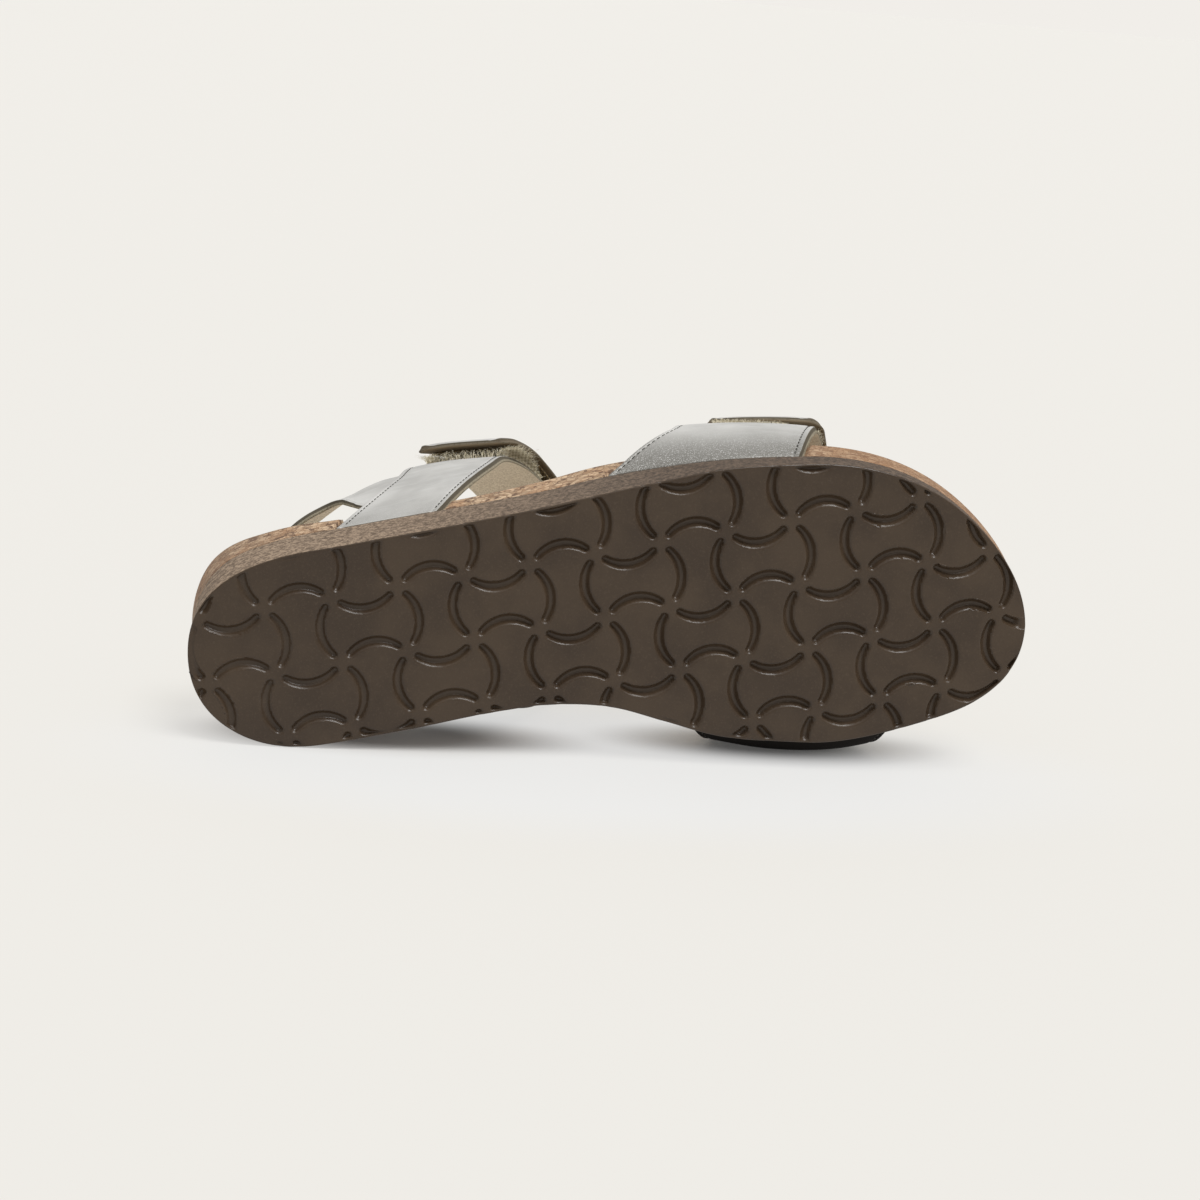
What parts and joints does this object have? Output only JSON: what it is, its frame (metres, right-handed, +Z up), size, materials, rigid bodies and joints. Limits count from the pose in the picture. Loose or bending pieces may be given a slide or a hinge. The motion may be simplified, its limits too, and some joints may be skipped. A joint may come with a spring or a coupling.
{
  "type": "strap sandal",
  "caption": "Right-foot leather strap sandal on a low cork and foam-rubber wedge platform with a pinwheel tread, hook-and-loop straps over the toes and the instep, lying on its side",
  "frame": {"origin": "Centre of the footprint of the lying sandal, on the floor", "axes": "X runs from heel to toe, Y from the tread to the top of the foot, and Z is up, with the medial side of the sandal down"},
  "size_m": [0.2622, 0.1192, 0.1025],
  "materials": {
    "foam_rubber": "satin moulded tread with a sanded, paler side",
    "cork": "sealed fine-grained cork with dark flecks",
    "suede": "matt suede",
    "silver_leather": "satin metallic grey leather with a fine grain",
    "loop_tape": "fuzzy woven loop tape",
    "hook_tape": "stiff woven hook tape"
  },
  "bodies": {
    "root": {"outsole": "foam_rubber", "cork_footbed": "cork", "insole_cover": "suede", "front_strap_lateral": "silver_leather", "front_strap_medial": "silver_leather", "front_strap_loop_tape": "loop_tape", "front_strap_hook_tape": "hook_tape", "instep_and_heel_strap": "silver_leather", "instep_loop_tape": "loop_tape", "instep_hook_tape": "hook_tape"}
  },
  "joints": []
}
